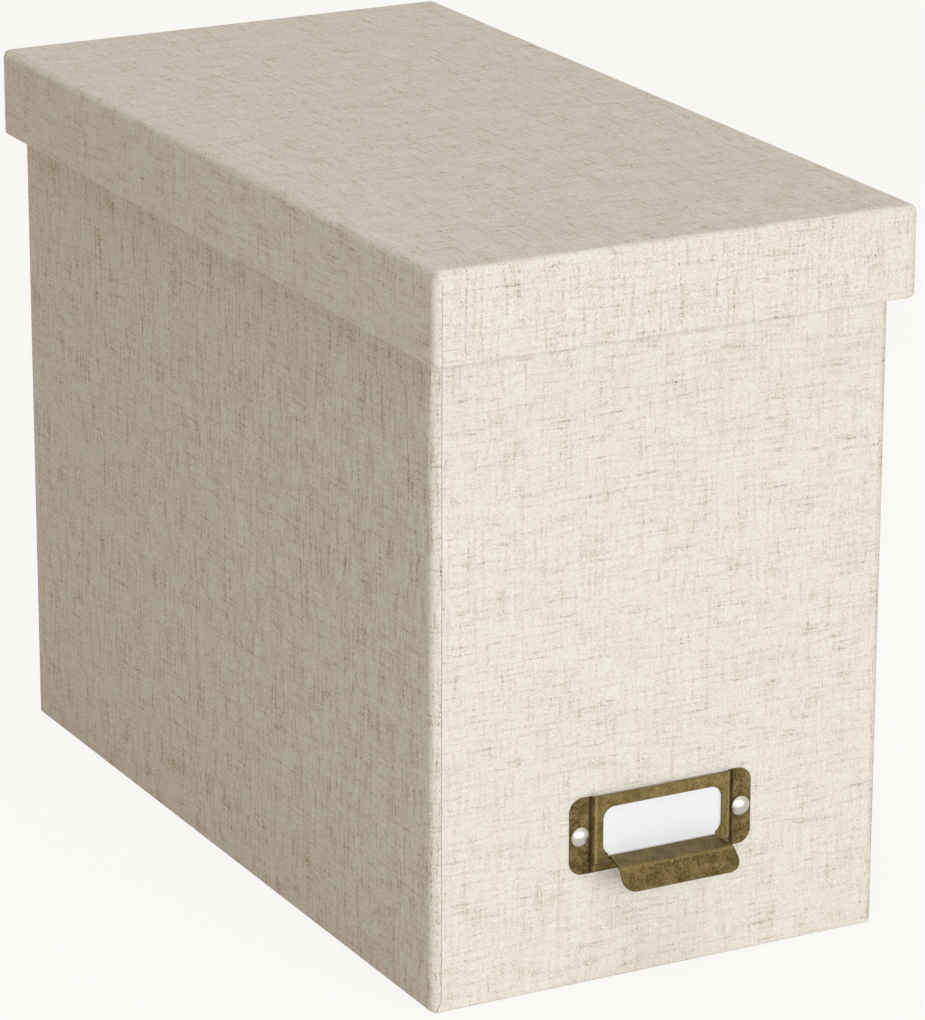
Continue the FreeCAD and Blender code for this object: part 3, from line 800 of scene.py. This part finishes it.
def band(tree, value, centre, inner, outer):
    """1 where a value lies within the inner distance of a centre, falling to 0 at the outer one."""
    off = put(tree, "Math", {0: value, 1: centre}, operation="SUBTRACT")
    off = put(tree, "Math", {0: off}, operation="ABSOLUTE")
    return put(
        tree, "MapRange", {0: off, 1: inner, 2: outer, 3: 1.0, 4: 0.0},
        interpolation_type="SMOOTHSTEP",
    )


def brass(settings, name, wear_and_highlight):
    """Antique brass: brass darkened in a bath, then tumbled so that ridges and bends shine again.

    The darkening stays in small pits, in the groove round the raised pocket and more on the pull
    than on the plate. In the groove it is also painted shade, and on the pull also a painted darker
    reflection. The ridges, the bend of the pull and the rounded edges are painted as highlight as
    well as rubbed. The face of the raised pocket is rubbed lighter. The pits are 0.7 mm across, the
    clouds between them 4 mm and the bright points 0.9 mm.
    """
    material, tree, shader = new_material(name)
    coords = put(tree, "TexCoord")
    place = put(tree, "SeparateXYZ", {0: coords.outputs["Object"]})
    facing = put(tree, "SeparateXYZ", {0: coords.outputs["Normal"]})
    aside = put(tree, "Math", {0: place.outputs[0]}, operation="ABSOLUTE")
    # Painted shade: the groove beside the raised pocket and under its lower step is painted with the bath
    # colour, as patina and as the shade that lies there.
    upright = band(tree, aside, settings.pocket_foot, 0.1 * MM, 1.25 * MM)
    within = put(tree, "Math", {0: aside, 1: settings.pocket_foot}, operation="LESS_THAN")
    level = band(tree, place.outputs[2], settings.pocket_low, 0.1 * MM, 1.2 * MM)
    level = put(tree, "Math", {0: level, 1: within}, operation="MULTIPLY")
    on_plate = put(
        tree, "Math", {0: place.outputs[1], 1: settings.plate_front}, operation="GREATER_THAN"
    )
    level = put(tree, "Math", {0: level, 1: on_plate}, operation="MULTIPLY")
    groove = put(tree, "Math", {0: upright, 1: level}, operation="MAXIMUM")
    # Painted highlight: a bright band along both ridges of the raised pocket, partly rubbed wear and
    # partly the light those ridges catch.
    ridge = band(tree, aside, settings.pocket_face, 0.1 * MM, 0.7 * MM)
    # Painted highlight: faces that tilt up at about this slant, mainly the bend of the pull, are painted
    # bright.
    bend_highlight = band(tree, facing.outputs[2], 0.84, 0.05, 0.25)
    soft_bend_highlight = put(tree, "Math", {0: bend_highlight, 1: BEND_HIGHLIGHT_SHARE}, operation="MULTIPLY")
    rubbed = put(tree, "Math", {0: ridge, 1: soft_bend_highlight}, operation="MAXIMUM")
    raised = put(tree, "Math", {0: aside, 1: settings.pocket_face}, operation="LESS_THAN")
    raised = put(tree, "Math", {0: raised, 1: on_plate}, operation="MULTIPLY")
    raised = put(tree, "Math", {0: raised, 1: RAISED_SHARE}, operation="MULTIPLY")
    rubbed = put(tree, "Math", {0: rubbed, 1: raised}, operation="MAXIMUM")

    spots = put(
        tree, "TexNoise",
        {"Vector": coords.outputs["Object"], "Scale": 1500.0, "Detail": 5.0, "Roughness": 0.7},
    )
    clouds = put(
        tree, "TexNoise",
        {"Vector": coords.outputs["Object"], "Scale": 230.0, "Detail": 4.0, "Roughness": 0.6},
    )
    mottle = put(tree, "Mix", {0: 0.4, 2: spots, 3: clouds})
    clear = put(tree, "MapRange", {0: mottle, 1: 0.42, 2: 0.62})
    # Darker pull: less cleared brass there, as patina and as a painted darker reflection.
    pull_patina_and_shade = put(tree, "MapRange", {0: on_plate, 3: PULL_SHARE, 4: 1.0})
    clear = put(tree, "Math", {0: clear, 1: pull_patina_and_shade}, operation="MULTIPLY")
    pits = put(tree, "TexNoise", {"Vector": coords.outputs["Object"], "Scale": 1100.0, "Detail": 1.0})
    glints = put(tree, "MapRange", {0: pits, 1: 0.70, 2: 0.80}, interpolation_type="SMOOTHSTEP")
    base = put(tree, "MixRGB", {0: clear, 1: tuple(settings.patina), 2: tuple(settings.brass)})
    share = put(tree, "Math", {0: rubbed, 1: RUBBED_SHARE}, operation="MULTIPLY")
    share = put(tree, "Math", {0: share, 1: glints}, operation="MAXIMUM")
    # The edges are painted bright: wear and painted highlight.
    share = put(tree, "Math", {0: share, 1: wear_and_highlight}, operation="MAXIMUM")
    base = put(tree, "MixRGB", {0: share, 1: base, 2: tuple(settings.rubbed)})
    # Painted shade and patina in the groove.
    share = put(tree, "Math", {0: groove, 1: GROOVE_PATINA_AND_SHADE}, operation="MULTIPLY")
    base = put(tree, "MixRGB", {0: share, 1: base, 2: tuple(settings.bath)})
    tree.links.new(base.outputs[0], shader.inputs["Base Color"])
    rough = put(tree, "MapRange", {0: clouds, 1: 0.3, 2: 0.7, 3: 0.42, 4: 0.56})
    tree.links.new(rough.outputs[0], shader.inputs["Roughness"])
    dents = put(tree, "Bump", {"Height": mottle, "Strength": 0.5, "Distance": 0.05 * MM})
    tree.links.new(dents.outputs[0], shader.inputs["Normal"])
    shader.inputs["Metallic"].default_value = 1.0
    return material


def shows_backdrop(tree):
    """1 for rays that show the backdrop itself: from the camera, in a reflection or through glass."""
    rays = put(tree, "LightPath")
    camera, glossy = rays.outputs["Is Camera Ray"], rays.outputs["Is Glossy Ray"]
    seen = put(tree, "Math", {0: camera, 1: glossy}, operation="MAXIMUM")
    through = rays.outputs["Is Transmission Ray"]
    return put(tree, "Math", {0: seen, 1: through}, operation="MAXIMUM")


def carry(piece, body, slot, *nodes):
    """Hangs a new piece on its body and hides the solids it stands for. The finish slot is not used."""
    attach(piece, body)
    if nodes:
        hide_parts(*nodes)


class BOX_OT_body_cloth(bpy.types.Operator):
    """Cover the four walls with linen"""

    bl_idname = "file_box.body_cloth"
    bl_label = "Body Cloth"

    def execute(self, context):
        settings = context.scene.file_box_linen
        edge = cut_edge()
        for name, side, node, board, roll in SIDE_SHEETS:
            piece = side_sheet(settings, name, side)
            cloth = linen(settings, name + " cloth", *SIDE_CLOTH, roll)
            finish_sheet(piece, settings.thickness, settings.edge, cloth, edge)
            carry(piece, "box", "linen", node)
        for name, end, node, board, roll in END_SHEETS:
            piece = end_sheet(settings, name, end)
            cloth = linen(settings, name + " cloth", *END_CLOTH, roll)
            finish_sheet(piece, settings.thickness, settings.edge, cloth, edge)
            carry(piece, "box", "linen", node)
        return {"FINISHED"}


class BOX_OT_lid_cloth(bpy.types.Operator):
    """Cover the lid with one sheet of linen"""

    bl_idname = "file_box.lid_cloth"
    bl_label = "Lid Cloth"

    def execute(self, context):
        settings = context.scene.file_box_linen
        piece = lid_sheet(settings, "lid_linen")
        cloth = linen(settings, "lid linen cloth", *LID_CLOTH, LID_ROLL)
        finish_sheet(piece, settings.thickness, settings.edge, cloth, cut_edge())
        carry(piece, "lid", "linen", "lid_cover")
        return {"FINISHED"}


class BOX_OT_label_holder(bpy.types.Operator):
    """Round and darken the brass label holder"""

    bl_idname = "file_box.label_holder"
    bl_label = "Label Holder"

    def execute(self, context):
        settings = context.scene.file_box_metal
        piece = worn_holder(settings, "label_holder_brass")
        piece.data.materials.clear()
        piece.data.materials.append(brass(settings, "antique brass", 0))
        # The rounded edges get a brighter copy of the brass: tumbling wear, and a painted highlight where
        # they lie in shade.
        piece.data.materials.append(brass(settings, "tumbled and highlighted brass edge", EDGE_WEAR_AND_HIGHLIGHT))
        only(piece)
        bpy.ops.object.shade_smooth_by_angle(angle=math.radians(35))
        apply_modifiers(piece)
        carry(piece, "box", "antique_brass", "label_holder")
        return {"FINISHED"}


class BOX_OT_rivets(bpy.types.Operator):
    """Set the two dome-headed rivets"""

    bl_idname = "file_box.rivets"
    bl_label = "Rivets"

    def execute(self, context):
        settings = context.scene.file_box_metal
        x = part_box("rivets")[1].x - settings.rivet_head / 2
        nickel = nickel_plate("nickel plate")
        for name, side in (("left_rivet", -1), ("right_rivet", 1)):
            piece = dome_rivet(settings, name, side * x)
            piece.data.materials.append(nickel)
            carry(piece, "box", "nickel", *(["rivets"] if side < 0 else []))
        return {"FINISHED"}


class BOX_OT_inner_parts(bpy.types.Operator):
    """Give the boards, linings, papers and rails their finishes"""

    bl_idname = "file_box.inner_parts"
    bl_label = "Inner Parts"

    def execute(self, context):
        finishes = {
            paper("recycled grey board", "a8a59d", "7b776f", 0.5, 0.6, 0.95): ("board",),
            paper("lining paper", "ece7db", "d8d0be", 0.4, 0.5, 0.9): ("lining",),
            paper("base paper", "dcd6c8", "c2b9a4", 0.4, 0.6, 0.9): ("base_sheet",),
            kraft_tape("gummed kraft tape"): ("stays",),
            zinc_steel("zinc plated steel"): ("rail", "washers"),
            paper("smooth label card", "f1f2f2", "e7e7e8", 0.3, 0.3, 0.7): ("label_card",),
        }
        for name, node in frame["nodes"].items():
            for material, words in finishes.items():
                if any(word in name for word in words):
                    node.data.materials.clear()
                    node.data.materials.append(material)
        return {"FINISHED"}


class BOX_OT_stage(bpy.types.Operator):
    """Set up the camera, the lamps and the pale floor"""

    bl_idname = "file_box.stage"
    bl_label = "Stage"

    def execute(self, context):
        settings = context.scene.file_box_stage
        bpy.ops.object.select_all(action="DESELECT")
        bpy.ops.mesh.primitive_plane_add(size=FLOOR_WIDTH)
        floor = context.object
        floor.name = "floor"
        material = bpy.data.materials.new("pale paper floor")
        material.use_nodes = True
        tree = material.node_tree
        tree.nodes.clear()
        share = put(tree, "Math", {0: shows_backdrop(tree), 1: FLOOR_GLOW}, operation="MULTIPLY")
        paper = put(tree, "BsdfDiffuse", {"Color": paint("f2f0ec")})
        glow = put(tree, "Emission", {"Color": tuple(settings.backdrop), "Strength": 1.0})
        mix = put(tree, "MixShader", {0: share, 1: paper, 2: glow})
        put(tree, "OutputMaterial", {"Surface": mix})
        floor.data.materials.append(material)

        world = bpy.data.worlds.new("studio")
        context.scene.world = world
        world.use_nodes = True
        tree = world.node_tree
        tree.nodes.clear()
        ambient = put(tree, "Background", {"Color": ROOM_LIGHT, "Strength": 1.0})
        white = put(tree, "Background", {"Color": tuple(settings.backdrop), "Strength": 1.0})
        mix = put(tree, "MixShader", {0: shows_backdrop(tree), 1: ambient, 2: white})
        put(tree, "OutputWorld", {"Surface": mix})

        for name, size, watts, colour, azimuth, elevation, away in SOFT_BOXES:
            lamp = bpy.data.lights.new(name, "AREA")
            lamp.shape = "RECTANGLE"
            lamp.size, lamp.size_y = size
            lamp.energy = watts
            lamp.color = colour
            box = bpy.data.objects.new(name, lamp)
            sideways = Matrix.Rotation(math.radians(azimuth), 4, "Z")
            turn = sideways @ Matrix.Rotation(math.radians(90 - elevation), 4, "X")
            aim = Matrix.Translation((0, 0, AIM_HEIGHT))
            box.matrix_world = aim @ turn @ Matrix.Translation((0, 0, away))
            context.scene.collection.objects.link(box)

        camera = bpy.data.objects.new("camera", bpy.data.cameras.new("camera"))
        camera.data.lens = settings.lens
        camera.matrix_world = (
            Matrix.Translation(settings.camera)
            @ Matrix.Rotation(settings.azimuth, 4, "Z")
            @ Matrix.Rotation(math.pi / 2 - settings.elevation, 4, "X")
            @ Matrix.Rotation(settings.roll, 4, "Z")
        )
        context.scene.collection.objects.link(camera)
        context.scene.camera = camera
        context.scene.view_settings.view_transform = "Standard"
        return {"FINISHED"}


class BOX_PT_file_box(bpy.types.Panel):
    """Lists the steps that dress the file box"""

    bl_idname = "BOX_PT_file_box"
    bl_label = "Linen File Box"
    bl_space_type = "VIEW_3D"
    bl_region_type = "UI"
    bl_category = "File Box"

    def draw(self, context):
        for operator in OPERATORS:
            self.layout.operator(operator.bl_idname)


OPERATORS = (
    BOX_OT_body_cloth,
    BOX_OT_lid_cloth,
    BOX_OT_label_holder,
    BOX_OT_rivets,
    BOX_OT_inner_parts,
    BOX_OT_stage,
)
SETTINGS = {
    "file_box_linen": LinenSettings,
    "file_box_metal": MetalSettings,
    "file_box_stage": StageSettings,
}


def register():
    for kind in (*SETTINGS.values(), *OPERATORS, BOX_PT_file_box):
        bpy.utils.register_class(kind)
    for name, kind in SETTINGS.items():
        setattr(bpy.types.Scene, name, PointerProperty(type=kind))


def unregister():
    for name in SETTINGS:
        delattr(bpy.types.Scene, name)
    for kind in (BOX_PT_file_box, *reversed(OPERATORS), *SETTINGS.values()):
        bpy.utils.unregister_class(kind)


def main():
    register()
    for operator in OPERATORS:
        group, step = operator.bl_idname.split(".")
        getattr(getattr(bpy.ops, group), step)()


if __name__ == "__main__":
    main()
